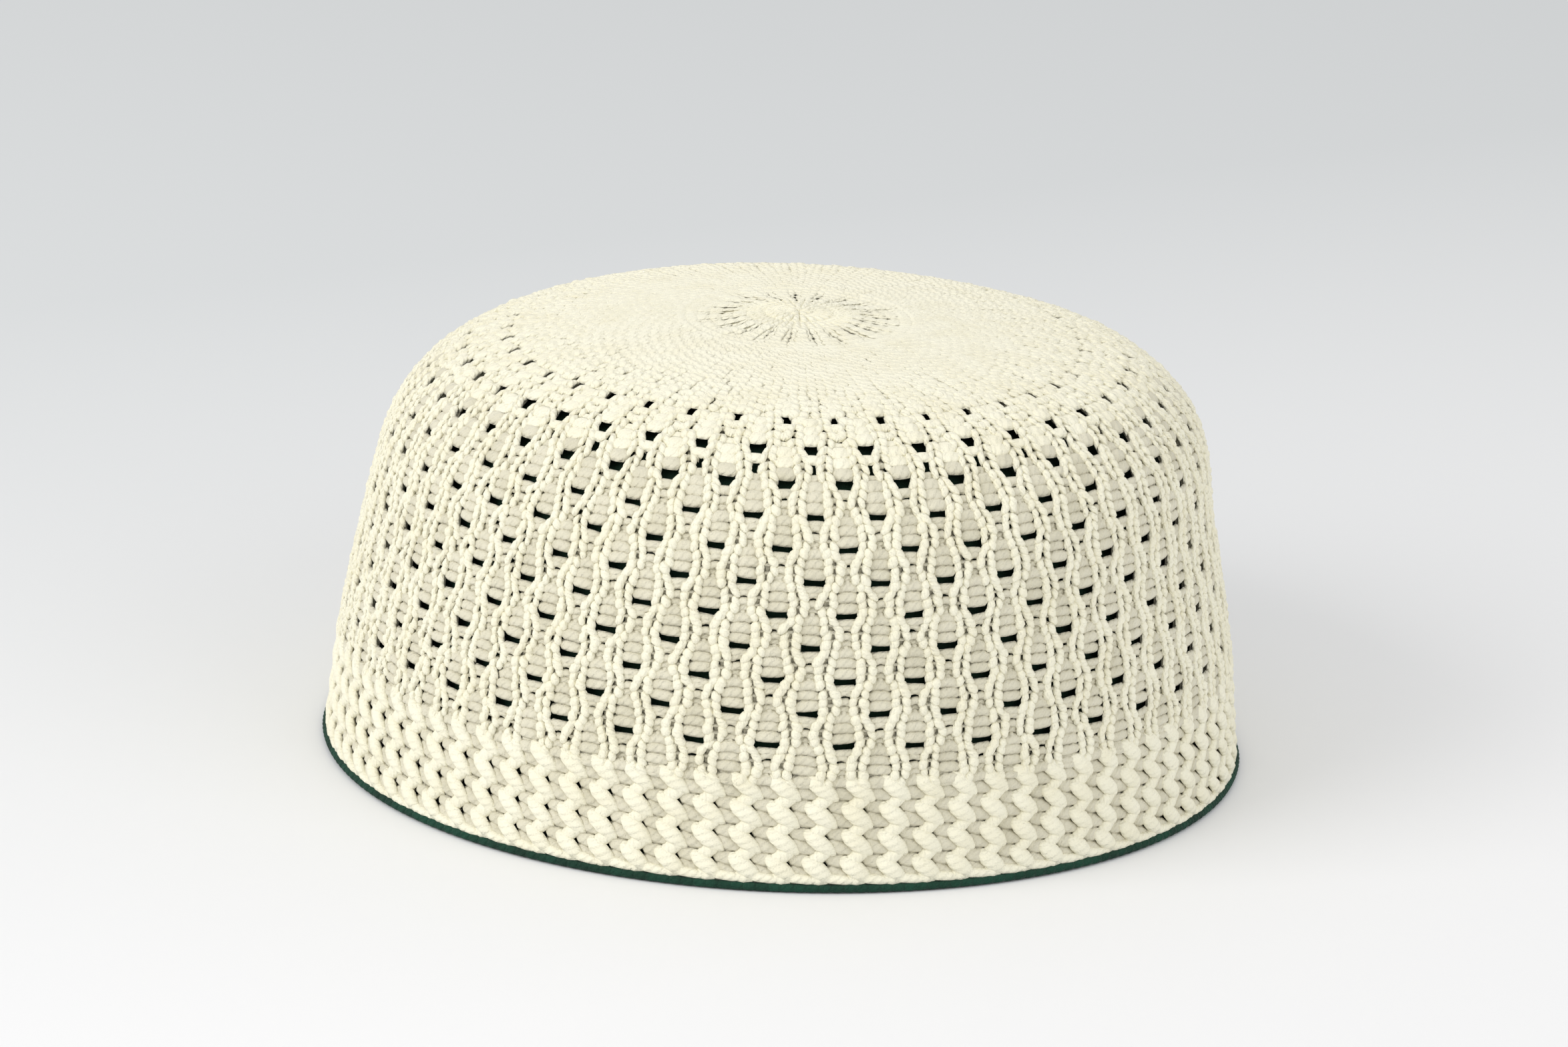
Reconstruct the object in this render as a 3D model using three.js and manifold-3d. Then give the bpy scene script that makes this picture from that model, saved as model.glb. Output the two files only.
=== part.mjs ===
// A knitted kufi cap, in millimetres, +Z up. The origin is the middle of the ring on which the cap stands.
// The front of the cap faces -Y. Columns of stitches run up the wall and over the crown to its centre.
import * as THREE from "three";
import { mergeVertices } from "three/addons/utils/BufferGeometryUtils.js";
import Module from "manifold-3d";

const wasm = await Module();
wasm.setup();

// Driving sizes
const rimRadius = 92; // outside radius of the knit at the rim, left and right
const capHeight = 87.3; // floor to the highest ring of the crown
const rimPush = 6.5; // how far the rim is pressed in at the front and at the back
const pushReach = 60; // height above the floor where that pressing has faded out
const bandHeight = 20.8; // floor to the top of the chevron band
const crownRadius = 55; // where the openwork ends and the plain crown begins
const sideWall = 2.4; // thickness of the openwork knit
const bandWall = 2.8; // thickness of the chevron knit
const crownWall = 2.4; // thickness of the plain knit
const liningWall = 1.0; // thickness of the inner cap
const clearance = 0.3; // between one piece and the next
const repeats = 42; // stitch repeats round the cap, each with two columns of eyes
const insideFacets = 28; // flats round the inside faces

const edgingHeight = 1.4; // bound edge that shows under the band
const edgingSetback = 0.9; // how far that edge sits in from the band's face
const chevronPeriod = 5.3; // height of one chevron
const chevronSwing = 1.9; // sideways swing of a chevron's ridge, each way
const chevronDepth = 1.0; // furrow between two ridges
const eyeRows = 11; // staggered rows of eyes up the wall
const lowestEye = 7.3; // top of the band to the lowest row of slits, along the wall
const highestEye = 5.2; // highest row of slits to the edge of the crown, along the wall
const eyeDepth = 0.8; // dimple of the knit over a slit
const eyeRise = 2.6; // slit to the middle of that dimple
const slitWidth = 4.4; // slit that is cut right through under a dimple
const slitHeight = 1.6;
const slitRowStep = 2; // rows from one row of cut slits to the next
const slitRowsCut = 4; // rows of slits that are cut right through
const gatherRadius = 15; // ring where the crown's last stitches are drawn together
const gatherDepth = 1.3; // pleats of that ring
const gatherReach = 7; // how far a pleat runs out from the ring, and in to the button

// Outside of the knit from the floor to the middle of the crown, as shares of rimRadius and capHeight
const wallSections = [
  { radius: 1.0, height: 0.0 },
  { radius: 0.985, height: 0.137 },
  { radius: 0.969, height: 0.275 },
  { radius: 0.946, height: 0.405 },
  { radius: 0.919, height: 0.544 },
  { radius: 0.89, height: 0.68 },
  { radius: 0.87, height: 0.747 },
  { radius: 0.839, height: 0.809 },
  { radius: 0.789, height: 0.867 },
  { radius: 0.722, height: 0.914 },
  { radius: 0.647, height: 0.946 },
  { radius: 0.543, height: 0.973 },
  { radius: 0.304, height: 1.0 },
  { radius: 0.196, height: 0.996 },
  { radius: 0.109, height: 0.983 },
  { radius: 0.0, height: 0.976 },
];

const wallCurve = new THREE.SplineCurve(
  wallSections.map((row) => new THREE.Vector2(row.radius * rimRadius, row.height * capHeight)),
);
const curveSteps = 600;
wallCurve.arcLengthDivisions = curveSteps;
const wallLength = wallCurve.getLength();

// Point on the outside of the knit at a length up the wall, moved inwards by depth, as { r, z, angle }.
// The angle is counted from the front; the front and the back are pressed in near the rim.
function wallPoint(length, depth = 0, angle = Math.PI / 2) {
  const share = THREE.MathUtils.clamp(length / wallLength, 0, 1);
  const point = wallCurve.getPointAt(share);
  const along = wallCurve.getTangentAt(share);
  // On the axis the crown is level, so the inward direction is straight down
  if (share === 1) along.set(-1, 0);
  const press = rimPush * Math.cos(angle) ** 2 * Math.max(1 - point.y / pushReach, 0);
  return { r: Math.max(point.x - along.y * depth - press, 0), z: point.y + along.x * depth, angle };
}

// Length up the wall at which a test of the point first holds
function lengthWhere(test) {
  for (let step = 0; step <= curveSteps; step++) {
    const length = (step / curveSteps) * wallLength;
    if (test(wallPoint(length))) return length;
  }
  return wallLength;
}

const bandTop = lengthWhere((point) => point.z >= bandHeight);
const crownEdge = lengthWhere((point) => point.z > bandHeight && point.r <= crownRadius);
const edgingTop = lengthWhere((point) => point.z >= edgingHeight + clearance);
const repeatAngle = (2 * Math.PI) / repeats;

// Lengths from one end of a stretch to the other, both ends included
function stations(from, to, count) {
  return Array.from({ length: count + 1 }, (_, index) => from + ((to - from) * index) / count);
}

// A closed mesh through rings of points, capped by a fan at each end. place(column, ring) gives { r, z, angle }.
function ringSolid(columns, rings, place) {
  const positions = [];
  const faces = [];
  const corner = (column, ring) => ring * columns + (column % columns);
  for (let ring = 0; ring < rings; ring++) {
    for (let column = 0; column < columns; column++) {
      const { r, z, angle } = place(column, ring);
      positions.push(r * Math.sin(angle), -r * Math.cos(angle), z);
    }
  }
  for (let ring = 0; ring + 1 < rings; ring++) {
    for (let column = 0; column < columns; column++) {
      const [a, b] = [corner(column, ring), corner(column + 1, ring)];
      const [c, d] = [corner(column + 1, ring + 1), corner(column, ring + 1)];
      faces.push(a, b, c, a, c, d);
    }
  }
  for (const ring of [0, rings - 1]) {
    const centre = positions.length / 3;
    positions.push(0, 0, positions[3 * corner(0, ring) + 2]);
    for (let column = 0; column < columns; column++) {
      const [a, b] = [corner(column, ring), corner(column + 1, ring)];
      faces.push(...(ring === 0 ? [centre, b, a] : [centre, a, b]));
    }
  }
  const geometry = new THREE.BufferGeometry();
  geometry.setAttribute("position", new THREE.Float32BufferAttribute(positions, 3));
  geometry.setIndex(faces);
  return solidOf(geometry);
}

function solidOf(geometry) {
  const bare = geometry.clone();
  bare.deleteAttribute("normal");
  bare.deleteAttribute("uv");
  const merged = mergeVertices(bare, 1e-4);
  return new wasm.Manifold(
    new wasm.Mesh({
      numProp: 3,
      vertProperties: merged.attributes.position.array,
      triVerts: new Uint32Array(merged.index.array),
    }),
  );
}

function geometryOf(solid) {
  const { numProp, vertProperties, triVerts } = solid.getMesh();
  const geometry = new THREE.BufferGeometry();
  const data = new THREE.InterleavedBuffer(vertProperties, numProp);
  geometry.setAttribute("position", new THREE.InterleavedBufferAttribute(data, 3, 0));
  geometry.setIndex(new THREE.BufferAttribute(triVerts, 1));
  const flat = geometry.toNonIndexed();
  flat.computeVertexNormals();
  return flat;
}

// Smooth solid inside the knit, through lengths up the wall at a depth that may change on the way.
// Its first and last rings reach further by below and above, so that it cuts a piece right through.
function inside(lengths, depthAt, below, above) {
  const steps = lengths.map((length) => ({ length, shift: 0 }));
  if (below > 0) steps.unshift({ length: lengths[0], shift: -below });
  if (above > 0) steps.push({ length: lengths[lengths.length - 1], shift: above });
  return ringSolid(insideFacets, steps.length, (column, ring) => {
    const { length, shift } = steps[ring];
    const point = wallPoint(length, depthAt(length), (column * 2 * Math.PI) / insideFacets);
    return { ...point, z: point.z + shift };
  });
}

// Chevron band: zigzag ridges, two to a repeat, with furrows between them
const bandFrom = edgingTop;
const bandTo = bandTop - clearance / 2;

function band() {
  const columns = 4 * repeats;
  const steps = Math.max(2, Math.round((2 * (bandTo - bandFrom)) / chevronPeriod));
  const lengths = stations(bandFrom, bandTo, steps);
  const swing = chevronSwing / rimRadius;
  const outer = ringSolid(columns, lengths.length, (column, ring) => {
    const furrow = column % 2 === 1 ? chevronDepth : 0;
    const side = ring % 2 === 0 ? -1 : 1;
    const point = wallPoint(lengths[ring], furrow, (column * repeatAngle) / 4 + side * swing);
    // Both edges of the band are level
    const level = ring === 0 || ring + 1 === lengths.length;
    return level ? { ...point, z: wallPoint(lengths[ring]).z } : point;
  });
  return outer.subtract(inside([bandFrom, bandTo], () => bandWall, bandWall, bandWall));
}

// Staggered eyes: row 0 is the lowest, and odd rows sit half a repeat further round
const sideFrom = bandTop + clearance / 2;
const sideTo = crownEdge - clearance / 2;
const slitLengths = stations(bandTop + lowestEye, crownEdge - highestEye, eyeRows - 1);
const sideInside = [sideFrom, ...slitLengths.filter((_, row) => row % slitRowStep === 1), sideTo];

// One slit, a flat diamond pushed through the wall
function slitAt(length, angle) {
  const shape = new THREE.Shape();
  shape.moveTo(-slitWidth / 2, 0);
  shape.lineTo(0, -slitHeight / 2);
  shape.lineTo(slitWidth / 2, 0);
  shape.lineTo(0, slitHeight / 2);
  shape.closePath();
  const depth = 4 * sideWall;
  const geometry = new THREE.ExtrudeGeometry(shape, { depth, bevelEnabled: false });
  geometry.translate(0, 0, -depth / 2);
  const point = wallPoint(length, 0, angle);
  const within = wallPoint(length, 1, angle);
  const outwards = new THREE.Vector3(point.r - within.r, 0, point.z - within.z);
  const around = new THREE.Vector3(0, 1, 0);
  const up = new THREE.Vector3().crossVectors(outwards, around);
  geometry.applyMatrix4(new THREE.Matrix4().makeBasis(around, up, outwards));
  geometry.translate(point.r, 0, point.z);
  geometry.rotateZ(angle - Math.PI / 2);
  return solidOf(geometry);
}

// Openwork side: a wall dimpled over each slit of the knit, with every second slit of some rows cut through
function side() {
  const columns = 2 * repeats;
  const lengths = [sideFrom, ...slitLengths.map((length) => length + eyeRise), sideTo];
  const outer = ringSolid(columns, lengths.length, (column, ring) => {
    const row = ring - 1;
    const dimpled = row >= 0 && row < eyeRows && (column + row) % 2 === 0;
    return wallPoint(lengths[ring], dimpled ? eyeDepth : 0, (column * repeatAngle) / 2);
  });
  let wall = outer.subtract(inside(sideInside, () => sideWall, sideWall, sideWall));
  slitLengths.forEach((length, row) => {
    if (row % slitRowStep !== 0 || row >= slitRowStep * slitRowsCut) return;
    for (let repeat = (row / slitRowStep) % 2; repeat < repeats; repeat += 2) {
      wall = wall.subtract(slitAt(length, repeat * repeatAngle));
    }
  });
  return wall;
}

// Plain crown, drawn together in pleats round a small button of knit
const crownFrom = crownEdge + clearance / 2;
const crownInside = stations(crownFrom, wallLength, 6);

function crown() {
  const ringAt = (radius) => lengthWhere((point) => point.z > bandHeight && point.r <= radius);
  const pleatOut = ringAt(gatherRadius + gatherReach);
  const pleat = ringAt(gatherRadius);
  const pleatIn = ringAt(gatherRadius - gatherReach);
  const lengths = [...stations(crownFrom, pleatOut, 4), pleat, pleatIn, wallLength];
  const outer = ringSolid(repeats, lengths.length, (column, ring) => {
    const drawn = lengths[ring] === pleat && column % 2 === 1;
    return wallPoint(lengths[ring], drawn ? gatherDepth : 0, column * repeatAngle);
  });
  return outer.subtract(inside(crownInside, () => crownWall, crownWall, 0));
}

// Depth of the lining's outer face. Where two zones of knit meet it clears the thicker of them.
function liningDepth(length) {
  const zones = [
    { wall: bandWall, from: bandFrom, to: sideFrom },
    { wall: sideWall, from: sideFrom, to: crownFrom },
    { wall: crownWall, from: sideTo, to: wallLength },
  ];
  const walls = zones.filter((zone) => length >= zone.from && length <= zone.to).map((zone) => zone.wall);
  return Math.max(...walls) + clearance;
}

// Inner cap of plain cloth that backs the whole knit
function lining() {
  const lengths = [bandFrom, bandTo, ...sideInside, ...crownInside];
  const foot = wallPoint(bandFrom, liningDepth(bandFrom)).z - edgingHeight - clearance;
  const outer = inside(lengths, liningDepth, foot, 0);
  const inner = inside(lengths, (length) => liningDepth(length) + liningWall, foot + liningWall, 0);
  return outer.subtract(inner);
}

// Bound edge that joins band and lining, on which the cap stands
function edging() {
  const ring = (facets, depth, from, to) =>
    ringSolid(facets, 2, (column, end) => {
      const point = wallPoint(edgingTop, depth, (column * 2 * Math.PI) / facets);
      return { ...point, z: end === 0 ? from : to };
    });
  const outer = ring(2 * insideFacets, edgingSetback, 0, edgingHeight);
  const innerDepth = liningDepth(edgingTop) + liningWall;
  return outer.subtract(ring(insideFacets, innerDepth, -edgingHeight, 2 * edgingHeight));
}

const creamYarn = { color: 0xf3efd9, roughness: 0.95, metalness: 0 };
const greenYarn = { color: 0x14503a, roughness: 0.95, metalness: 0 };

const cap = new THREE.Group();
for (const [name, make, finish] of [
  ["crown", crown, creamYarn],
  ["side", side, creamYarn],
  ["band", band, creamYarn],
  ["edging", edging, greenYarn],
  ["lining", lining, greenYarn],
]) {
  const mesh = new THREE.Mesh(geometryOf(make()), new THREE.MeshStandardMaterial(finish));
  mesh.name = name;
  cap.add(mesh);
}

export default cap;
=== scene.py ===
"""A knitted kufi cap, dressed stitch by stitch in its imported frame.

The cap stands on its edge with its front towards -Y. Its knit is worked out in millimetres on the outside of
the cap: a length up the wall from the floor, an angle counted from the front, and a depth inwards from the
outside. Meshes are then written in metres.
"""
import logging
import math
from dataclasses import dataclass, field
from enum import Enum

import bpy
import numpy as np
from mathutils import Matrix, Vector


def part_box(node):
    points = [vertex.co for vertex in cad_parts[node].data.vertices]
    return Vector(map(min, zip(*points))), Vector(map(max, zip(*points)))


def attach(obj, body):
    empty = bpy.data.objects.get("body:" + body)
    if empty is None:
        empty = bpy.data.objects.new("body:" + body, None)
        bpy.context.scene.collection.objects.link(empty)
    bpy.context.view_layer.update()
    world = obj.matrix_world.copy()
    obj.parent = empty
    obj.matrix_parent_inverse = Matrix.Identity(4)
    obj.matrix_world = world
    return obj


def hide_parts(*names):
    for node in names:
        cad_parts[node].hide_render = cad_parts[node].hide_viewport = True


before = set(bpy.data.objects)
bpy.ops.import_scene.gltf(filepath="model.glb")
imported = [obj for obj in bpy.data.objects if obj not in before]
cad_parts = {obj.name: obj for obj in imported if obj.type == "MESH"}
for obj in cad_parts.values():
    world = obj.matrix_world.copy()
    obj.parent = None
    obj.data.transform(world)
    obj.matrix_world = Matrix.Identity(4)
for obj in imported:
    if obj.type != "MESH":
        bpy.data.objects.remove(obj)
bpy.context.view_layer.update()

LOG = logging.getLogger("kufi")
MM = 0.001

RIM_RADIUS = 92.0
CROWN_EDGE_RADIUS = 55.0
BAND_OVERHANG = 0.6
INNER_CAP_OVERHANG = 0.8
LEAST_RADIUS = 1.0
SHORT_STRAND = (-1.0, -0.7, -0.25, 0.25, 0.7, 1.0)


@dataclass(frozen=True)
class WallSection:
    """One ring of the cap's outside, as shares of its rim radius and its height."""

    radius: float
    height: float


WALL_SECTIONS = (
    WallSection(1.0, 0.0),
    WallSection(0.985, 0.137),
    WallSection(0.969, 0.275),
    WallSection(0.946, 0.405),
    WallSection(0.919, 0.544),
    WallSection(0.89, 0.68),
    WallSection(0.87, 0.747),
    WallSection(0.839, 0.809),
    WallSection(0.789, 0.867),
    WallSection(0.722, 0.914),
    WallSection(0.647, 0.946),
    WallSection(0.543, 0.973),
    WallSection(0.304, 0.997),
    WallSection(0.196, 1.002),
    WallSection(0.109, 1.012),
    WallSection(0.0, 1.015),
)


def smooth_step(value: np.ndarray, low: float, high: float) -> np.ndarray:
    """Ease from 0 to 1 between two limits.

    Args:
        value: Numbers to ease.
        low: Where the result leaves 0.
        high: Where the result reaches 1.

    Returns:
        The eased numbers.
    """
    share = np.clip((value - low) / (high - low), 0.0, 1.0)
    return share * share * (3.0 - 2.0 * share)


def catmull_rom(points: np.ndarray, steps: int) -> np.ndarray:
    """Run a smooth curve through points.

    Args:
        points: Control points, one a row.
        steps: Points made between two control points.

    Returns:
        The dense curve, one point a row.
    """
    padded = np.vstack([points[:1], points, points[-1:]])
    share = np.linspace(0.0, 1.0, steps, endpoint=False)[:, None]
    pieces = []
    for before, start, end, after in zip(padded, padded[1:], padded[2:], padded[3:]):
        pull_in = 0.5 * (end - before)
        pull_out = 0.5 * (after - start)
        cubic = 2 * start - 2 * end + pull_in + pull_out
        square = -3 * start + 3 * end - 2 * pull_in - pull_out
        pieces.append(cubic * share**3 + square * share**2 + pull_in * share + start)
    return np.vstack([*pieces, points[-1:]])


@dataclass
class Gather:
    """The ring on the crown where the last stitches are drawn together."""

    pleats: int = 21
    ring_radius: float = 14.5
    reach_out: float = 6.5
    reach_in: float = 3.5
    depth: float = 1.55
    half_width: float = 0.8
    part_width: float = 0.85
    pit_inner: float = 11.6
    pit_outer: float = 19.4
    pit_half_width: float = 0.68
    part_reach: float = 4.2
    part_edge: float = 0.2
    part_fade: float = 1.5
    sharpness: float = 2.0
    ring_share: float = 0.08
    first_angle: float = 0.0

    def offset(self, radius: np.ndarray, angle: np.ndarray) -> np.ndarray:
        """Distance round the crown from the nearest pleat."""
        spacing = 2 * math.pi / self.pleats
        turn = (angle - self.first_angle + spacing / 2) % spacing - spacing / 2
        return turn * np.maximum(radius, LEAST_RADIUS)

    def part(self, radius: np.ndarray, angle: np.ndarray) -> np.ndarray:
        """Turn that parts the stitches on both sides of a pleat."""
        across = self.offset(radius, angle)
        middle = 0.5 * (self.pit_inner + self.pit_outer)
        along = np.exp(-(((radius - middle) / self.part_reach) ** 2))
        fade = np.exp(-np.abs(across) / self.part_fade)
        push = self.part_width * along * np.tanh(across / self.part_edge) * fade
        return push / np.maximum(radius, LEAST_RADIUS)

    def sink(self, radius: np.ndarray, angle: np.ndarray) -> np.ndarray:
        """Depth that the pleats add at places on the crown.

        Args:
            radius: Distances from the cap's axis.
            angle: Angles from the front.

        Returns:
            Extra depths.
        """
        across = self.offset(radius, angle)
        reach = np.where(radius > self.ring_radius, self.reach_out, self.reach_in)
        along = np.exp(-(((radius - self.ring_radius) / reach) ** 2) * self.sharpness)
        furrow = np.exp(-((across / self.half_width) ** 2))
        return self.depth * along * (self.ring_share + (1 - self.ring_share) * furrow)


@dataclass
class Drape:
    """How the soft knit has settled: its columns spread at the front, near the hem and on the shoulder."""

    repeats: int = 84
    spread_low: float = 0.42
    low_from: float = 29.0
    low_to: float = 72.0
    steepness: float = 3.3
    spread_high: float = 0.72
    high_from: float = 76.0
    high_to: float = 92.0
    turn: float = 0.15
    tilt: float = 0.3
    top_fade: float = 35.0

    def shift(self, length: np.ndarray, angle: np.ndarray) -> tuple[np.ndarray, np.ndarray]:
        """Shift places on the knit.

        Args:
            length: Lengths up the wall.
            angle: Angles from the front.

        Returns:
            The shifted lengths and angles.
        """
        low = 1 - smooth_step(length, self.low_from, self.low_to)
        high = smooth_step(length, self.high_from, self.high_to)
        top = 1 - smooth_step(length, self.high_to, self.high_to + self.top_fade)
        side = np.sin(angle)
        columns = self.spread_low * low * np.tanh(self.steepness * side) + self.spread_high * high * side
        columns = (columns + self.turn * (1 - low) * (1 - high)) * top
        rise = self.tilt * side * (1 - 2 * low) * top * smooth_step(length, 0.0, self.low_from)
        return length + rise, angle + columns * 2 * math.pi / self.repeats


@dataclass
class CapShape:
    """The outside of the knit, and places on it."""

    rim_radius: float
    cap_height: float
    rim_push: float = 6.5
    push_reach: float = 60.0
    hem_lift: float = 0.7
    hem_drop: float = 0.35
    lift_reach: float = 20.0
    crown_drop: float = 0.5
    drop_from: float = 55.0
    drop_to: float = 85.0
    crown_share: float = 0.9
    bulge: float = 2.0
    bulge_from: float = 50.0
    bulge_full: float = 74.0
    bulge_fade: float = 84.0
    bulge_to: float = 104.0
    curve_steps: int = 80
    gather: Gather = field(default_factory=Gather)
    drape: Drape = field(default_factory=Drape)

    def __post_init__(self) -> None:
        """Work out the dense wall curve and its outward directions."""
        scale = (self.rim_radius, self.cap_height)
        control = np.array([(row.radius, row.height) for row in WALL_SECTIONS]) * scale
        curve = catmull_rom(control, self.curve_steps)
        gaps = np.hypot(*np.diff(curve, axis=0).T)
        self.lengths = np.concatenate([[0.0], np.cumsum(gaps)])
        self.radii, self.heights = curve.T
        slope = np.gradient(curve, self.lengths, axis=0)
        slope /= np.hypot(*slope.T)[:, None]
        self.out_r, self.out_z = slope[:, 1], -slope[:, 0]

    def read(self, column: np.ndarray, length: np.ndarray) -> np.ndarray:
        """Look up one column of the wall curve at lengths up the wall."""
        return np.interp(length, self.lengths, column)

    def radius(self, length: np.ndarray) -> np.ndarray:
        """Distance of the outside from the axis at lengths up the wall."""
        return self.read(self.radii, length)

    def length_at_radius(self, radius: float) -> float:
        """Length up the wall where the crown has narrowed to a radius."""
        return float(np.interp(-radius, -self.radii, self.lengths))

    def length_at_height(self, height: float) -> float:
        """Length up the wall at a height above the floor, below the shoulder."""
        half = len(self.heights) // 2
        return float(np.interp(height, self.heights[:half], self.lengths[:half]))

    def press(self, angle: np.ndarray, height: np.ndarray) -> np.ndarray:
        """How far the front and the back are pressed in near the rim."""
        return self.rim_push * np.cos(angle) ** 2 * np.clip(1 - height / self.push_reach, 0, None)

    def place(
        self, length: np.ndarray, angle: np.ndarray, depth: np.ndarray, lateral: np.ndarray | float = 0.0
    ) -> np.ndarray:
        """Find points in the knit.

        Args:
            length: Lengths up the wall.
            angle: Angles from the front.
            depth: Depths inwards from the outside.
            lateral: Distances round the cap from those angles.

        Returns:
            The points, with x, y and z last.
        """
        turned = angle + lateral / np.maximum(self.radius(length), LEAST_RADIUS)
        length, turned = self.drape.shift(length, turned)
        radius, height = self.radius(length), self.read(self.heights, length)
        turned = turned + self.gather.part(radius, turned)
        deep = depth + self.gather.sink(radius, turned) * (height > self.crown_share * self.cap_height)
        deep = deep + self.crown_drop * smooth_step(length, self.drop_from, self.drop_to)
        full = smooth_step(length, self.bulge_from, self.bulge_full)
        full = full * (1 - smooth_step(length, self.bulge_fade, self.bulge_to))
        deep = deep - self.bulge * full * np.clip(np.sin(turned), 0, None) ** 2
        front = np.clip(np.cos(turned), 0, None) ** 2
        lift = (self.hem_lift + self.hem_drop) * front - self.hem_drop
        lift = lift * np.clip(1 - height / self.lift_reach, 0, None)
        out = radius - deep * self.read(self.out_r, length) - self.press(turned, height)
        up = height - deep * self.read(self.out_z, length) + lift
        return np.stack(np.broadcast_arrays(out * np.sin(turned), -out * np.cos(turned), up), axis=-1)

    def outward(self, length: np.ndarray, angle: np.ndarray) -> np.ndarray:
        """Directions out of the knit at lengths up the wall and angles from the front."""
        out_r, out_z = self.read(self.out_r, length), self.read(self.out_z, length)
        parts = np.broadcast_arrays(out_r * np.sin(angle), -out_r * np.cos(angle), out_z)
        return np.stack(parts, axis=-1)

    def route(
        self, length: np.ndarray, angle: np.ndarray, depth: np.ndarray, lateral: np.ndarray | float = 0.0
    ) -> tuple[np.ndarray, np.ndarray]:
        """Find points in the knit, and the directions out of it there.

        Args:
            length: Lengths up the wall.
            angle: Angles from the front.
            depth: Depths inwards from the outside.
            lateral: Distances round the cap from those angles.

        Returns:
            The points and the directions.
        """
        turned = angle + lateral / np.maximum(self.radius(length), LEAST_RADIUS)
        return self.place(length, angle, depth, lateral), self.outward(length, turned)


class YarnKind(Enum):
    """Kinds of yarn and cloth on the cap, and a darker copy of the cream yarn that paints shade on recessed
    yarns.
    """

    CREAM = "cream_knit"
    SHADED_CREAM = "cream_painted_shade"
    EDGING = "green_edging"
    LINING = "green_lining"


@dataclass(frozen=True)
class YarnFinish:
    """A spun yarn: two plies that turn round each other, and short fibres."""

    kind: YarnKind
    colour: tuple[float, float, float]
    shade: tuple[float, float, float]
    roughness: float = 0.92
    sheen: float = 0.2
    sheen_roughness: float = 0.6
    specular: float = 0.2
    slot: str = "cream_knit"
    plies: float = 3.0
    lay: float = 1.6
    ply_depth: float = 0.07 * MM
    fibre_depth: float = 0.22 * MM
    fibre_scale: float = 3000.0
    mottle_scale: float = 160.0
    shade_until: float = 0.3
    colour_from: float = 0.6

    def material(self) -> bpy.types.Material:
        """Build the yarn's material.

        Returns:
            The node material, with ply twist from the strand's own UV map and fibres from object coordinates.
        """
        material = bpy.data.materials.new(self.kind.value)
        material.use_nodes = True
        tree = material.node_tree
        shader = tree.nodes["Principled BSDF"]
        shader.inputs["Roughness"].default_value = self.roughness
        shader.inputs["Sheen Weight"].default_value = self.sheen
        shader.inputs["Sheen Roughness"].default_value = self.sheen_roughness
        shader.inputs["Specular IOR Level"].default_value = self.specular
        place = tree.nodes.new("ShaderNodeTexCoord")
        mottle = tree.nodes.new("ShaderNodeTexNoise")
        mottle.inputs["Scale"].default_value = self.mottle_scale
        mottle.inputs["Detail"].default_value = 4.0
        tint = tree.nodes.new("ShaderNodeValToRGB")
        tint.color_ramp.elements[0].position = self.shade_until
        tint.color_ramp.elements[1].position = self.colour_from
        tint.color_ramp.elements[0].color = (*self.shade, 1.0)
        tint.color_ramp.elements[1].color = (*self.colour, 1.0)
        tree.links.new(place.outputs["Object"], mottle.inputs["Vector"])
        tree.links.new(mottle.outputs["Fac"], tint.inputs["Fac"])
        tree.links.new(tint.outputs["Color"], shader.inputs["Base Color"])
        fibres = tree.nodes.new("ShaderNodeTexNoise")
        fibres.inputs["Scale"].default_value = self.fibre_scale
        fibres.inputs["Detail"].default_value = 3.0
        tree.links.new(place.outputs["Object"], fibres.inputs["Vector"])
        fuzz = tree.nodes.new("ShaderNodeBump")
        fuzz.inputs["Distance"].default_value = self.fibre_depth
        tree.links.new(fibres.outputs["Fac"], fuzz.inputs["Height"])
        twist = tree.nodes.new("ShaderNodeBump")
        twist.inputs["Distance"].default_value = self.ply_depth
        tree.links.new(self.ply_wave(tree), twist.inputs["Height"])
        tree.links.new(fuzz.outputs["Normal"], twist.inputs["Normal"])
        tree.links.new(twist.outputs["Normal"], shader.inputs["Normal"])
        return material

    def ply_wave(self, tree: bpy.types.NodeTree) -> bpy.types.NodeSocket:
        """Make the height of plies that turn along a strand.

        Args:
            tree: The material's node tree.

        Returns:
            The socket that gives the height.
        """
        strand = tree.nodes.new("ShaderNodeUVMap")
        parts = tree.nodes.new("ShaderNodeSeparateXYZ")
        tree.links.new(strand.outputs["UV"], parts.inputs["Vector"])
        around = tree.nodes.new("ShaderNodeMath")
        around.operation = "MULTIPLY"
        around.inputs[1].default_value = 2 * math.pi * self.plies
        tree.links.new(parts.outputs["X"], around.inputs[0])
        turn = tree.nodes.new("ShaderNodeMath")
        turn.operation = "MULTIPLY_ADD"
        turn.inputs[1].default_value = 2 * math.pi / self.lay
        tree.links.new(parts.outputs["Y"], turn.inputs[0])
        tree.links.new(around.outputs[0], turn.inputs[2])
        wave = tree.nodes.new("ShaderNodeMath")
        wave.operation = "SINE"
        tree.links.new(turn.outputs[0], wave.inputs[0])
        return wave.outputs[0]


CREAM_YARN = YarnFinish(YarnKind.CREAM, colour=(0.935, 0.905, 0.735), shade=(0.9, 0.86, 0.67))
# The same cream yarn painted darker: painted shade for the recessed bars, links and floats.
SHADED_CREAM_YARN = YarnFinish(YarnKind.SHADED_CREAM, colour=(0.745, 0.71, 0.565), shade=(0.65, 0.615, 0.47))
GREEN_EDGE = YarnFinish(
    YarnKind.EDGING,
    colour=(0.012, 0.058, 0.036),
    shade=(0.01, 0.03, 0.02),
    sheen=0.03,
    slot="green_edging",
)
GREEN_CLOTH = YarnFinish(
    YarnKind.LINING,
    colour=(0.01, 0.035, 0.02),
    shade=(0.006, 0.022, 0.012),
    sheen=0.03,
    lay=1.1,
    slot="green_lining",
)


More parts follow.
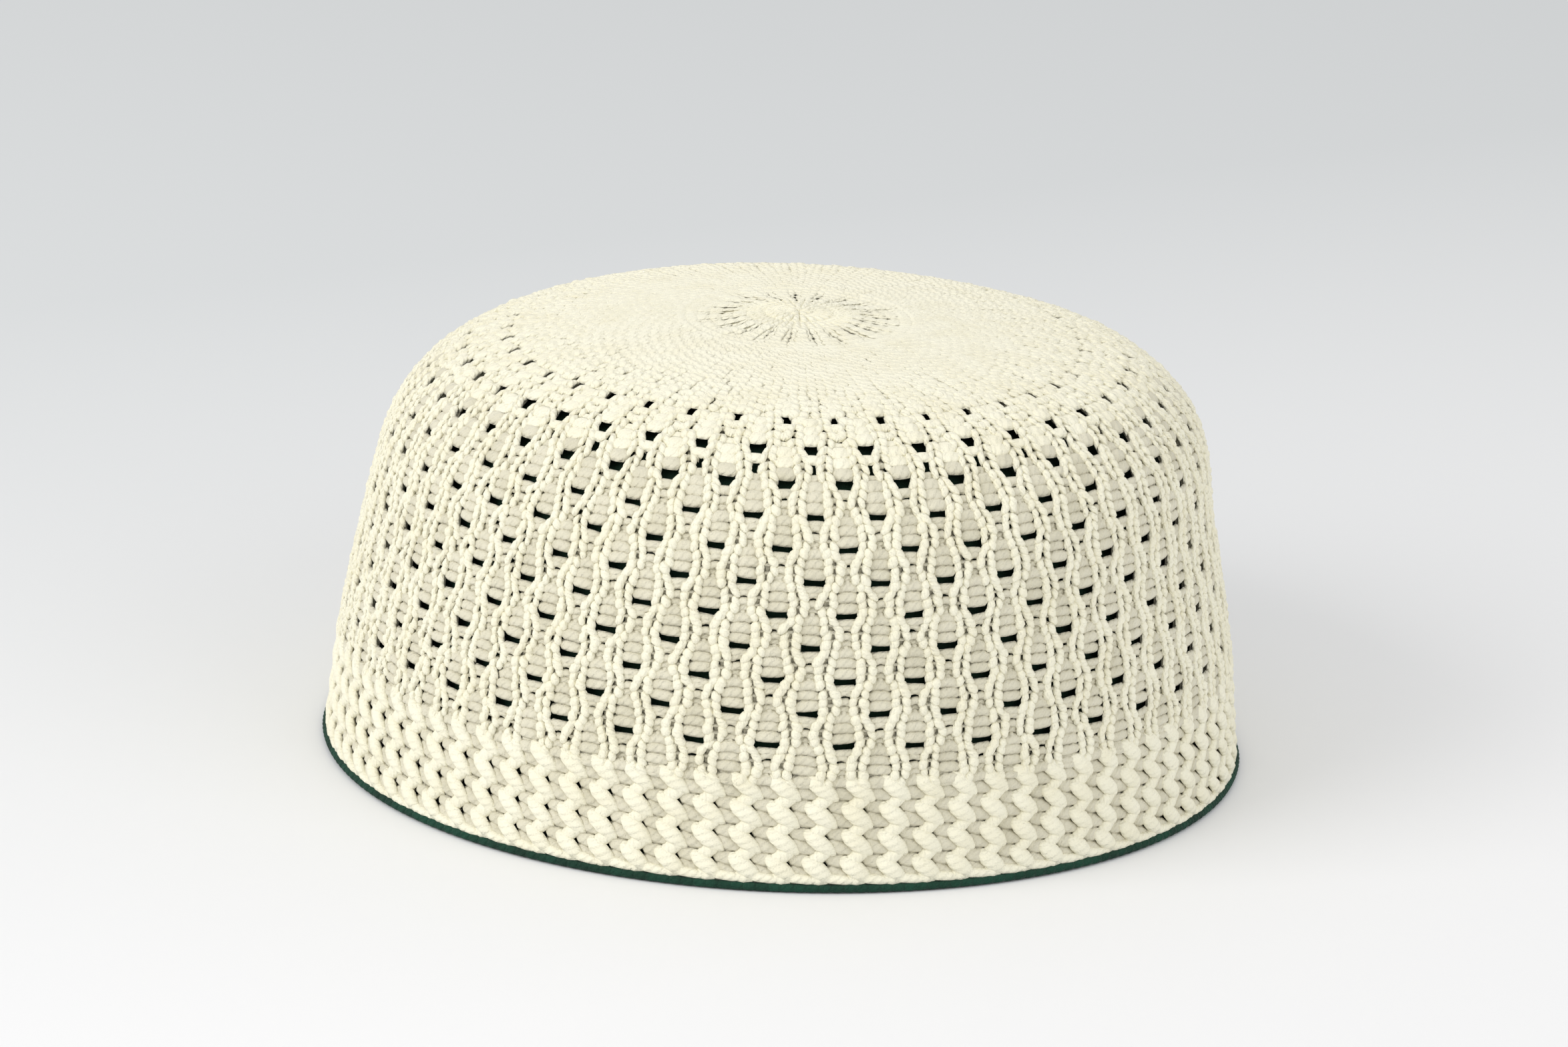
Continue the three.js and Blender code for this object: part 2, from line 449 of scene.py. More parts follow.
@dataclass
class Wardrobe:
    """The cap's materials, each made once."""

    made: dict[YarnKind, bpy.types.Material] = field(default_factory=dict)

    def dress(self, piece: bpy.types.Object, finish: YarnFinish, *nodes: str) -> bpy.types.Object:
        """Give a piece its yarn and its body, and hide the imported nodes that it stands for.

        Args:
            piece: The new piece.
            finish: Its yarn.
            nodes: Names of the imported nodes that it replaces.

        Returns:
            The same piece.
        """
        if finish.kind not in self.made:
            self.made[finish.kind] = finish.material()
        piece.data.materials.clear()
        piece.data.materials.append(self.made[finish.kind])
        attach(piece, "root")
        if nodes:
            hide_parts(*nodes)
        LOG.info("%s: %d faces", piece.name, len(piece.data.polygons))
        return piece


class StrandBatch:
    """Many short strands of yarn, swept with rounded ends and joined in one mesh."""

    def __init__(self, sides: int) -> None:
        """Start an empty batch of strands that each have a number of sides."""
        self.sides = sides
        self.points: list[np.ndarray] = []
        self.quads: list[np.ndarray] = []
        self.tris: list[np.ndarray] = []
        self.quad_uv: list[np.ndarray] = []
        self.tri_uv: list[np.ndarray] = []
        self.count = 0

    def add(self, path: np.ndarray, outward: np.ndarray, wide: np.ndarray, thick: np.ndarray) -> None:
        """Sweep strands along their paths.

        Args:
            path: Points of each strand, shaped (..., points, 3). The first and the last are its closed ends.
            outward: Directions out of the knit, shaped like path.
            wide: Half widths along the surface at the points between the ends.
            thick: Half thicknesses through the surface at those points.
        """
        points = path.shape[-2]
        outward = np.broadcast_to(outward, path.shape).reshape(-1, points, 3)
        path = path.reshape(-1, points, 3)
        strands = len(path)
        along = np.gradient(path, axis=1)
        along /= np.linalg.norm(along, axis=2, keepdims=True)
        across = np.cross(outward, along)
        across /= np.linalg.norm(across, axis=2, keepdims=True)
        out = np.cross(along, across)
        wide = np.broadcast_to(wide, (strands, points - 2))[:, :, None, None]
        thick = np.broadcast_to(thick, (strands, points - 2))[:, :, None, None]
        turn = np.linspace(0, 2 * math.pi, self.sides, endpoint=False)[None, None, :, None]
        middle = path[:, 1:-1, None, :]
        sideways = wide * np.cos(turn) * across[:, 1:-1, None]
        rings = middle + sideways + thick * np.sin(turn) * out[:, 1:-1, None]
        flat = rings.reshape(strands, -1, 3)
        self.points.append(np.concatenate([path[:, :1], flat, path[:, -1:]], axis=1).reshape(-1, 3))
        self._join(strands, points, path)

    def _join(self, strands: int, points: int, path: np.ndarray) -> None:
        """Write the faces and the UV map of strands that were just swept.

        Args:
            strands: How many strands were swept.
            points: Points of each path.
            path: The paths, for their lengths.
        """
        sides = self.sides
        size = 2 + (points - 2) * sides
        first = self.count + size * np.arange(strands)
        side = np.arange(sides)
        after = (side + 1) % sides
        ring = 1 + sides * np.arange(points - 3)[:, None]
        quad = np.stack([ring + side, ring + after, ring + sides + after, ring + sides + side], axis=-1)
        quad = quad.reshape(-1, 4)
        last = size - 1
        start = np.stack([np.zeros_like(side), 1 + after, 1 + side], axis=-1)
        end = np.stack([np.full_like(side, last), last - sides + side, last - sides + after], axis=-1)
        self.quads.append((first[:, None, None] + quad).reshape(-1, 4))
        self.tris.append((first[:, None, None] + np.vstack([start, end])).reshape(-1, 3))
        self.count += strands * size
        steps = np.linalg.norm(np.diff(path, axis=1), axis=2)
        run = np.concatenate([np.zeros((strands, 1)), np.cumsum(steps, axis=1)], axis=1)
        left, right = side / sides, (side + 1) / sides
        low, high = run[:, 1:-2, None], run[:, 2:-1, None]
        shape = np.broadcast_shapes(low.shape, left.shape)
        corners = ((left, low), (right, low), (right, high), (left, high))
        uv = [np.stack([np.broadcast_to(u, shape), np.broadcast_to(v, shape)], -1) for u, v in corners]
        self.quad_uv.append(np.stack(uv, axis=-2).reshape(-1, 2))
        caps = []
        for tip, rim, order in ((0, 1, (right, left)), (-1, -2, (left, right))):
            tip_v = np.broadcast_to(run[:, tip, None], (strands, sides))
            rim_v = np.broadcast_to(run[:, rim, None], (strands, sides))
            ends = [np.broadcast_to(one, (strands, sides)) for one in (left, *order)]
            fan = [np.stack([u, v], axis=-1) for u, v in zip(ends, (tip_v, rim_v, rim_v))]
            caps.append(np.stack(fan, axis=-2))
        self.tri_uv.append(np.concatenate(caps, axis=1).reshape(-1, 2))

    def build(self, name: str) -> bpy.types.Object:
        """Make one mesh object of all strands.

        Args:
            name: The piece's name.

        Returns:
            The object, in metres, shaded smooth.
        """
        points = np.concatenate(self.points) * MM
        quads, tris = np.concatenate(self.quads), np.concatenate(self.tris)
        uv = np.concatenate([*self.quad_uv, *self.tri_uv])
        mesh = bpy.data.meshes.new(name)
        mesh.vertices.add(len(points))
        mesh.vertices.foreach_set("co", points.astype(np.float32).ravel())
        corners = np.concatenate([quads.ravel(), tris.ravel()]).astype(np.int32)
        mesh.loops.add(len(corners))
        mesh.loops.foreach_set("vertex_index", corners)
        starts = np.concatenate([4 * np.arange(len(quads)), 4 * len(quads) + 3 * np.arange(len(tris))])
        mesh.polygons.add(len(starts))
        mesh.polygons.foreach_set("loop_start", starts.astype(np.int32))
        mesh.polygons.foreach_set("use_smooth", np.ones(len(starts), dtype=bool))
        layer = mesh.uv_layers.new(name="strand")
        layer.uv.foreach_set("vector", uv.astype(np.float32).ravel())
        mesh.update(calc_edges=True)
        mesh.validate()
        piece = bpy.data.objects.new(name, mesh)
        bpy.context.scene.collection.objects.link(piece)
        return piece


@dataclass(frozen=True)
class Sway:
    """Half the spacing of a column's two legs at one stitch row over a slit, in column pitches."""

    row: float
    spacing: float


SWAY = (
    Sway(0.5, 0.448),
    Sway(1.5, 0.432),
    Sway(2.5, 0.415),
    Sway(3.5, 0.36),
    Sway(4.5, 0.25),
    Sway(5.5, 0.218),
    Sway(6.5, 0.26),
    Sway(7.5, 0.405),
)


@dataclass
class StitchGrid:
    """Columns and rows of stitches. Row 0 is the lowest row of slits."""

    shape: CapShape
    columns: int = 84
    first_angle: float = 0.049
    first_slit: float = 28.9
    row_pitch: float = 1.555
    shoulder_stretch: float = 0.47
    shoulder_from: float = 66.0
    shoulder_to: float = 90.0
    rows_to_slit: int = 4
    plain_spacing: float = 0.25
    open_until: float = 34.0
    plain_from: float = 50.0

    def __post_init__(self) -> None:
        """Count stitch rows up the wall, with rows drawn out over the shoulder."""
        lengths = self.shape.lengths
        stretch = 1 + self.shoulder_stretch * smooth_step(lengths, self.shoulder_from, self.shoulder_to)
        steps = np.diff(lengths) / (self.row_pitch * 0.5 * (stretch[1:] + stretch[:-1]))
        counted = np.concatenate([[0.0], np.cumsum(steps)])
        self.row_table = counted - np.interp(self.first_slit, lengths, counted)
        self.period = 2 * self.rows_to_slit
        self.repeat_angle = 2 * math.pi / self.columns

    def length(self, row: np.ndarray) -> np.ndarray:
        """Length up the wall of a stitch row."""
        return np.interp(row, self.row_table, self.shape.lengths)

    def row(self, length: float) -> float:
        """Stitch row at a length up the wall."""
        return float(np.interp(length, self.shape.lengths, self.row_table))

    def angle(self, column: np.ndarray) -> np.ndarray:
        """Angle of a column's middle from the front."""
        return self.first_angle + column * self.repeat_angle

    def pitch(self, length: np.ndarray) -> np.ndarray:
        """Distance from one column to the next at a length up the wall."""
        return self.shape.radius(length) * self.repeat_angle

    def phase(self, row: np.ndarray, column: np.ndarray) -> np.ndarray:
        """Stitch rows above the last slit in a column."""
        return (row - self.rows_to_slit * (column % 2 == 0)) % self.period

    def openness(self, row: np.ndarray) -> np.ndarray:
        """How open the work is at a row, from 1 on the side to 0 on the crown."""
        return 1 - smooth_step(row, self.open_until, self.plain_from)

    def spacing(self, row: np.ndarray, column: np.ndarray) -> np.ndarray:
        """Half the spacing of the two legs of a column, as a share of the column pitch."""
        rows = [step.row for step in SWAY]
        swung = np.interp(self.phase(row, column), rows, [step.spacing for step in SWAY], period=self.period)
        return self.plain_spacing + (swung - self.plain_spacing) * self.openness(row)


@dataclass
class LegSizes:
    """One leg of a knit stitch."""

    sides: int = 6
    half_length: float = 0.93
    width_share: float = 0.133
    plain_width: float = 0.46
    widen_from: float = 33.0
    widen_to: float = 52.0
    half_depth: float = 0.6
    plain_depth: float = 0.21
    stagger: float = 0.5
    lean: float = 1.15
    plain_lean: float = 0.5
    plain_pitch: float = 4.0
    lean_spread: float = 0.3
    wander: float = 0.15
    swell: float = 0.1
    row_jitter: float = 0.09
    plain_calm: float = 0.6


@dataclass
class LegKnit:
    """Two chains of legs to each column, from the band up the side and over the crown."""

    grid: StitchGrid
    sizes: LegSizes
    seed: int = 7
    steps: tuple[float, ...] = (-1.0, -0.52, 0.0, 0.5, 1.0)
    fullness: tuple[float, ...] = (0.84, 1.1, 0.78)
    tuck: tuple[float, ...] = (0.85, 0.2, 0.0, 0.28, 1.15)

    def add(self, batch: StrandBatch, columns: np.ndarray, rows: np.ndarray, thin: float = 1.0) -> None:
        """Add the legs of some columns and rows.

        Args:
            batch: The batch that takes the strands.
            columns: Column numbers. A fraction lies between two columns.
            rows: Stitch rows.
            thin: Columns of the side that one of these columns stands for.
        """
        grid, sizes = self.grid, self.sizes
        random = np.random.default_rng(self.seed + len(rows))
        column = columns[:, None, None, None]
        row = rows[None, :, None, None]
        hand = np.array([-1.0, 1.0])[None, None, :, None]
        step = np.array(self.steps)[None, None, None, :]
        shape = (len(columns), len(rows), 2, 1)
        drift = random.normal(0.0, sizes.wander, shape)
        swell = 1 + random.normal(0.0, sizes.swell, shape)
        shift = sizes.stagger * (np.round(column) % 2) * (1 - grid.openness(row))
        at = row + 0.5 + shift + step * sizes.half_length
        plain = 1 - grid.openness(at)
        jitter = random.normal(0.0, sizes.row_jitter, shape) * (1 - sizes.plain_calm * plain)
        length = grid.length(at + jitter)
        pitch = grid.pitch(length) * thin
        parity = np.round(column) if thin == 1.0 else column
        spacing = grid.spacing(at, parity)
        lean = sizes.lean * (1 - plain) + sizes.plain_lean * np.minimum(pitch / sizes.plain_pitch, 1) * plain
        lean = lean * (1 + random.normal(0.0, sizes.lean_spread, shape))
        lateral = hand * (spacing * pitch + lean * step * 0.5) + drift
        fuller = smooth_step(at, sizes.widen_from, sizes.widen_to)
        wide = pitch * (sizes.width_share * (1 - fuller) + sizes.plain_width * fuller)
        half = sizes.half_depth * (1 - plain) + sizes.plain_depth * plain
        deep = half * (1 + np.array(self.tuck)[None, None, None, :]) + 0.5 * drift * (1 - plain)
        path, out = grid.shape.route(length, grid.angle(column), deep, lateral)
        full = np.array(self.fullness)
        inner = (wide * swell)[..., 1:-1] * full
        thick = (half * swell)[..., 1:-1] * full
        batch.add(path, out, inner.reshape(-1, len(full)), thick.reshape(-1, len(full)))


class BarKind(Enum):
    """Crossing yarns between the two legs of a column."""

    EYE = "eye"
    STUB = "stub"
    NECK = "neck"


@dataclass(frozen=True)
class Bar:
    """One crossing yarn: its height over the slit in stitch rows, and what kind it is."""

    row: float
    kind: BarKind


BARS = (
    Bar(0.92, BarKind.EYE),
    Bar(1.92, BarKind.EYE),
    Bar(2.9, BarKind.EYE),
    Bar(3.9, BarKind.STUB),
    Bar(5.0, BarKind.NECK),
    Bar(6.12, BarKind.NECK),
    Bar(7.25, BarKind.NECK),
)

FOOT_BARS = (
    Bar(-0.3, BarKind.EYE),
    Bar(-1.3, BarKind.EYE),
)


@dataclass
class BarSizes:
    """Crossing yarns of the openwork."""

    sides: int = 6
    eye_height: float = 1.12
    neck_height: float = 0.76
    stub_width: float = 0.85
    half_depth: float = 0.6
    depth: float = 1.0
    end_drop: float = 0.25
    taper: tuple[float, ...] = (0.85, 1.0, 1.0, 0.85)
    full_reach: float = 2.4
    full_pitch: float = 6.2
    least_share: float = 0.6
    slit_grow: float = 0.55
    arch: float = 0.5
    arch_from: float = 0.5
    arch_rows: float = 3.0
    sag: float = -0.2
    bowl: float = 0.7
    shoulder_from: float = 26.0
    shoulder_to: float = 34.0
    calm_to: float = 38.0
    shoulder_calm: float = 0.6
    shoulder_grow: float = 0.22
    upper_depth: float = 0.6
    upper_row: float = 33.0
    wander: float = 0.11
    slant: float = 1.3
    stub_rise: tuple[float, ...] = (-0.75, -0.4, 0.0, 0.4, 0.75)
    stub_taper: tuple[float, ...] = (0.85, 0.8, 0.75)
    stub_pitch: float = 6.0
    stub_least: float = 0.5
    stub_drop: float = 0.25
    stub_bar_lift: float = 0.1
    stub_bar_drop: float = 0.45
    link_rise: float = 0.02
    link_jitter: float = 0.05
    link_height: float = 0.36
    link_grow: float = 1.3
    link_grow_from: float = 24.0
    link_depth: float = 1.0
    link_flatness: float = 0.8
    strip_width: float = 0.11
    strip_depth: float = 1.75
    strip_half_depth: float = 0.35


@dataclass
class SideKnit:
    """Openwork side: staggered eyes of crossing yarns with a slit under each."""

    grid: StitchGrid
    wardrobe: Wardrobe
    legs: LegSizes
    bars: BarSizes
    band_top: float
    crown_edge: float
    first_period: int = -2
    last_period: int = 6
    seed_shift: int = 1000
    seed: int = 11

    def build(self) -> None:
        """Build and dress the legs, the bars and the links of the side."""
        rows = np.arange(math.ceil(self.grid.row(self.band_top)), math.ceil(self.grid.row(self.crown_edge)))
        half = self.grid.columns // 2
        quarter = half // 2
        front = np.arange(-quarter, half - quarter)
        for name, columns in (("side_legs_front", front), ("side_legs_back", front + half)):
            batch = StrandBatch(self.legs.sides)
            LegKnit(self.grid, self.legs, seed=self.seed).add(batch, columns, rows)
            self.wardrobe.dress(batch.build(name), CREAM_YARN, "side")
        lowest, upper = self.grid.row(self.band_top), self.bars.upper_row
        highest = self.grid.row(self.crown_edge) + self.grid.rows_to_slit
        # The lower bars, the links and the floats take the darker cream yarn: painted shade in the recesses.
        self.wardrobe.dress(self.crossing_bars("side_bars", lowest, upper), SHADED_CREAM_YARN, "side")
        self.wardrobe.dress(self.crossing_bars("shoulder_bars", upper, highest), CREAM_YARN, "side")
        self.wardrobe.dress(self.column_links(rows), SHADED_CREAM_YARN, "side")
        self.wardrobe.dress(self.float_yarns(rows), SHADED_CREAM_YARN, "side")

    def crossing_bars(self, name: str, lowest: float, highest: float) -> bpy.types.Object:
        """Lay the bars, stubs and neck yarns of every column.

        Args:
            name: The piece's name.
            lowest: Stitch row over which the bars start.
            highest: Stitch row under which they end.

        Returns:
            The piece.
        """
        batch = StrandBatch(self.bars.sides)
        for column in range(self.grid.columns):
            offset = self.grid.rows_to_slit * (column % 2 == 0)
            for period in range(self.first_period, self.last_period + 1):
                slit = offset + period * self.grid.period
                rows = self.rows_over(slit, lowest, highest)
                for kind in (BarKind.EYE, BarKind.NECK):
                    chosen = np.array([row for row, one in rows if one is kind])
                    if len(chosen):
                        self.lay_bars(batch, column, chosen, kind)
                stubs = np.array([row for row, one in rows if one is BarKind.STUB])
                if len(stubs):
                    self.stand_stub(batch, column, stubs)
                    self.lay_bars(batch, column, stubs + self.bars.stub_bar_lift, BarKind.STUB)
        return batch.build(name)

    def rows_over(self, slit: float, lowest: float, highest: float) -> list[tuple[float, BarKind]]:
        """List the crossing yarns from one slit to the next.

        Args:
            slit: Stitch row of the slit.
            lowest: First stitch row over the band.
            highest: Last stitch row of the side.

        Returns:
            Stitch rows and kinds. An eye with no slit, next to the band, has bars in the slit's place.
        """
        found = [(slit + bar.row, bar.kind) for bar in BARS]
        if slit < 0 < slit + self.grid.period:
            found += [(slit + bar.row, bar.kind) for bar in FOOT_BARS]
        return [(row, kind) for row, kind in found if lowest < row < highest]

    def lay_bars(self, batch: StrandBatch, column: int, rows: np.ndarray, kind: BarKind) -> None:
        """Lay arched bars between the two legs of a column.

        Args:
            batch: The batch that takes the strands.
            column: The column's number.
            rows: Stitch rows of the bars.
            kind: Eye bars are thicker than neck bars.
        """
        sizes, grid = self.bars, self.grid
        random = np.random.default_rng([self.seed, column, int(round(self.seed_shift + rows[0]))])
        across = np.array(SHORT_STRAND)[None, :]
        row = rows[:, None]
        pitch = grid.pitch(grid.length(row))
        reach = grid.spacing(row, column) * pitch
        half = sizes.eye_height if kind is BarKind.EYE else sizes.neck_height
        narrow = np.clip(reach / sizes.full_reach, sizes.least_share, 1.0)
        narrow = narrow * np.clip(pitch / sizes.full_pitch, sizes.least_share, 1.0)
        tilt = random.normal(0.0, sizes.wander, row.shape) * across * sizes.slant
        place = grid.phase(row, column)
        under_slit = place > grid.period - 1
        row = row - sizes.slit_grow * under_slit * smooth_step(row, sizes.shoulder_from, sizes.shoulder_to)
        bowl = sizes.sag - sizes.bowl * smooth_step(row, sizes.shoulder_from, sizes.shoulder_to)
        arch = sizes.arch * np.clip(place - sizes.arch_from, 0.0, sizes.arch_rows)
        arch = np.where(under_slit, bowl, arch)
        rise = arch * narrow * (1 - across**2) + tilt + random.normal(0.0, 0.5 * sizes.wander, row.shape)
        length = grid.length(row) + rise
        behind = sizes.stub_bar_drop if kind is BarKind.STUB else 0.0
        shallow = smooth_step(row, sizes.shoulder_from, sizes.calm_to)
        depth = sizes.depth + (sizes.upper_depth - sizes.depth) * shallow
        settle = random.normal(0.0, sizes.wander, row.shape)
        depth = depth + behind + (sizes.end_drop * across**2 + settle) * (1 - sizes.shoulder_calm * shallow)
        path, out = grid.shape.route(length, grid.angle(column), depth, across * reach)
        stretch = (grid.length(row + 0.5) - grid.length(row - 0.5)) / grid.row_pitch
        taper = np.array(sizes.taper)
        height = half * stretch * (1 + sizes.shoulder_grow * shallow) * taper
        batch.add(path, out, height, sizes.half_depth * taper)

    def stand_stub(self, batch: StrandBatch, column: int, rows: np.ndarray) -> None:
        """Stand the short upright yarn over the top bar of an eye.

        Args:
            batch: The batch that takes the strands.
            column: The column's number.
            rows: Stitch rows of the stubs.
        """
        sizes, grid = self.bars, self.grid
        length = grid.length(rows[:, None] + np.array(sizes.stub_rise)[None, :])
        narrow = np.clip(grid.pitch(length) / sizes.stub_pitch, sizes.stub_least, 1.0)
        path, out = grid.shape.route(length, grid.angle(column), sizes.depth + sizes.stub_drop + 0 * length)
        taper = np.array(sizes.stub_taper)
        wide = sizes.stub_width * narrow[:, 1:-1] * taper
        batch.add(path, out, wide, sizes.half_depth * np.ones(len(taper)))

    def column_links(self, rows: np.ndarray) -> bpy.types.Object:
        """Tie the legs of one column to those of the next, with a small hole under each tie.

        Args:
            rows: Stitch rows of the side.

        Returns:
            The piece.
        """
        sizes, grid = self.bars, self.grid
        batch = StrandBatch(4)
        random = np.random.default_rng(self.seed)
        columns = np.arange(grid.columns)[:, None, None]
        jitter = random.normal(0.0, sizes.link_jitter, (grid.columns, len(rows), 1))
        row = rows[None, :, None] + sizes.link_rise + jitter
        share = np.array([0.0, 0.3, 0.7, 1.0])[None, None, :]
        length = grid.length(row + 0 * share)
        pitch = grid.pitch(length)
        start = grid.spacing(row, columns) * pitch
        end = pitch - grid.spacing(row, columns + 1) * pitch
        lateral = start + (end - start) * share
        path, out = grid.shape.route(length, grid.angle(columns), sizes.link_depth + 0 * lateral, lateral)
        grow = 1 + sizes.link_grow * smooth_step(row, sizes.link_grow_from, sizes.shoulder_to)
        height = sizes.link_height * grow * np.ones(2)
        batch.add(path, out, height.reshape(-1, 2), sizes.half_depth * sizes.link_flatness * np.ones(2))
        return batch.build("side_links")

    def float_yarns(self, rows: np.ndarray) -> bpy.types.Object:
        """Run a flat yarn behind the legs of two neighbouring columns, to close the gap between them.

        Args:
            rows: Stitch rows of the side.

        Returns:
            The piece.
        """
        sizes, grid = self.bars, self.grid
        batch = StrandBatch(6)
        columns = np.arange(grid.columns)[:, None]
        at = np.arange(rows[0] - 0.5, rows[-1] + 1.6, 1.0)[None, :]
        length = grid.length(at) + 0 * columns
        pitch = grid.pitch(length)
        lateral = 0.5 * pitch * (1 + grid.spacing(at, columns) - grid.spacing(at, columns + 1))
        path, out = grid.shape.route(length, grid.angle(columns), sizes.strip_depth + 0 * length, lateral)
        thick = sizes.strip_half_depth * np.ones(at.shape[1] - 2)
        batch.add(path, out, sizes.strip_width * pitch[:, 1:-1], thick)
        return batch.build("side_floats")


@dataclass(frozen=True)
class Stroke:
    """One stroke of a zigzag ridge: its run round the cap, its fall, its place and its size."""

    run: float
    drop: float
    shift: float
    deep: float
    half_width: float


@dataclass
class BandSizes:
    """Chevron hem."""

    sides: int = 8
    period: float = 5.55
    offset: float = 0.5
    swing: float = 1.95
    fall: float = 0.29
    ridge_width: float = 1.5
    return_width: float = 1.3
    ridge_depth: float = 0.8
    ridge_taper: tuple[float, ...] = (0.6, 1.02, 1.12, 0.95, 0.46)
    overshoot: float = 1.62
    top_gap: float = 0.35
    tip_drop: float = 0.15
    least_lift: float = 0.9
    return_run: float = 0.78
    return_overlap: float = 1.1
    return_drop: float = 0.4
    bars_to_period: int = 2
    bar_slopes: tuple[float, ...] = (-1.2, -0.6)
    bar_taper: tuple[float, ...] = (0.95, 1.0, 0.72)
    bar_height: float = 1.5
    bar_half_depth: float = 0.75
    bar_depth: float = 1.6
    bar_bow: float = 0.35
    bar_shift: float = 0.4
    bar_top_gap: float = 1.35
    bar_least_lift: float = 0.8
    hem_height: float = 1.0
    hem_taper: tuple[float, ...] = (0.8, 1.0, 1.0, 0.8)
    hem_depth: float = 1.0
    hem_bow: float = 0.3
    hem_drop: float = 0.15
    hem_slant: float = 0.5
    hem_half_length: float = 0.66
    swell: float = 0.03
    wander: float = 0.07


@dataclass
class BandKnit:
    """Zigzag ridges, one to a column, with crossing yarns between them, over a rolled hem."""

    grid: StitchGrid
    wardrobe: Wardrobe
    sizes: BandSizes
    bottom: float
    top: float
    seed: int = 23

    def build(self) -> None:
        """Build and dress the ridges, the bars between them and the hem."""
        self.wardrobe.dress(self.ridges(), CREAM_YARN, "band")
        # The bars in the furrows take the darker cream yarn: painted shade in the recesses.
        self.wardrobe.dress(self.bars(), SHADED_CREAM_YARN, "band")
        self.wardrobe.dress(self.hem(), CREAM_YARN, "band")

    def strokes(self) -> np.ndarray:
        """Lengths up the wall of the middles of the falling strokes, from the top down."""
        count = math.ceil((self.top - self.bottom) / self.sizes.period)
        return self.top - self.sizes.top_gap - self.sizes.period * np.arange(count)

    def ridges(self) -> bpy.types.Object:
        """Work the zigzag ridges: a long falling stroke, and a shorter one back behind it.

        Returns:
            The piece.
        """
        sizes, grid = self.sizes, self.grid
        batch = StrandBatch(sizes.sides)
        random = np.random.default_rng(self.seed)
        columns = np.arange(grid.columns)[:, None, None]
        middles = self.strokes()[None, :, None]
        size = (grid.columns, middles.shape[1], 1)
        share = sizes.overshoot * np.array([-1.0, -0.84, -0.5, 0.0, 0.45, 0.82, 1.0])[None, None, :]
        full = np.array(sizes.ridge_taper)
        falling = Stroke(1.0, sizes.fall * sizes.period, 0.0, 0.0, sizes.ridge_width)
        rise = sizes.return_overlap * ((0.5 - sizes.fall) * sizes.period)
        rising = Stroke(-sizes.return_run, rise, -0.5 * sizes.period, sizes.return_drop, sizes.return_width)
        for stroke in (falling, rising):
            jog = random.normal(0.0, sizes.wander, size)
            length = middles + stroke.shift - share * stroke.drop + 0.5 * jog
            lateral = stroke.run * share * sizes.swing + jog + sizes.offset * grid.pitch(length)
            depth = sizes.ridge_depth + stroke.deep + sizes.tip_drop * np.abs(share) ** 3
            keep = np.maximum(length, self.bottom + sizes.least_lift)
            path, out = grid.shape.route(keep, grid.angle(columns), depth + 0 * keep, lateral)
            swell = 1 + random.normal(0.0, sizes.swell, size)
            wide = (stroke.half_width * full * swell).reshape(-1, len(full))
            batch.add(path, out, wide, (sizes.ridge_depth * full * swell).reshape(-1, len(full)))
        return batch.build("band_ridges")

    def bars(self) -> bpy.types.Object:
        """Cross the furrows with yarns, two to a chevron.

        Returns:
            The piece.
        """
        sizes, grid = self.sizes, self.grid
        batch = StrandBatch(6)
        random = np.random.default_rng(self.seed + 1)
        pitch = sizes.period / sizes.bars_to_period
        count = math.ceil((self.top - self.bottom) / pitch)
        columns = np.arange(grid.columns)[:, None, None]
        order = np.arange(-1, count)[None, :, None]
        size = (grid.columns, count + 1, 1)
        share = np.array([0.0, 0.22, 0.5, 0.78, 1.0])[None, None, :]
        slope = np.array(sizes.bar_slopes)[order % sizes.bars_to_period]
        middle = self.top - sizes.bar_top_gap - pitch * order + random.normal(0.0, sizes.wander, size)
        length = np.maximum(middle + slope * (share - 0.5) * 2, self.bottom + sizes.bar_least_lift)
        lateral = grid.pitch(length) * (share + sizes.offset) + sizes.bar_shift
        bow = sizes.bar_bow * (2 * share - 1) ** 2
        depth = sizes.bar_depth + bow + random.normal(0.0, sizes.wander, size)
        path, out = grid.shape.route(length, grid.angle(columns), depth, lateral)
        taper = np.array(sizes.bar_taper)
        batch.add(path, out, sizes.bar_height * taper, sizes.bar_half_depth * np.ones(len(taper)))
        return batch.build("band_bars")

    def hem(self) -> bpy.types.Object:
        """Roll the hem: short slanted stitches in one row round the rim.

        Returns:
            The piece.
        """
        sizes, grid = self.sizes, self.grid
        batch = StrandBatch(sizes.sides)
        random = np.random.default_rng(self.seed + 2)
        columns = np.arange(0.0, grid.columns, 1.0)[:, None]
        share = np.array(SHORT_STRAND)[None, :]
        jog = random.normal(0.0, sizes.wander, (len(columns), 1))
        length = self.bottom + sizes.hem_height - sizes.hem_drop - sizes.hem_slant * share + 0.4 * jog
        lateral = share * sizes.hem_half_length * grid.pitch(length) + jog
        depth = sizes.hem_depth + sizes.hem_bow * share**2
        path, out = grid.shape.route(length, grid.angle(columns), depth, lateral)
        full = np.array(sizes.hem_taper)
        batch.add(path, out, sizes.hem_height * full, sizes.ridge_depth * full)
        return batch.build("band_hem")


def take_only(piece: bpy.types.Object) -> None:
    """Select one piece alone and make it the active one."""
    bpy.ops.object.select_all(action="DESELECT")
    piece.select_set(True)
    bpy.context.view_layer.objects.active = piece


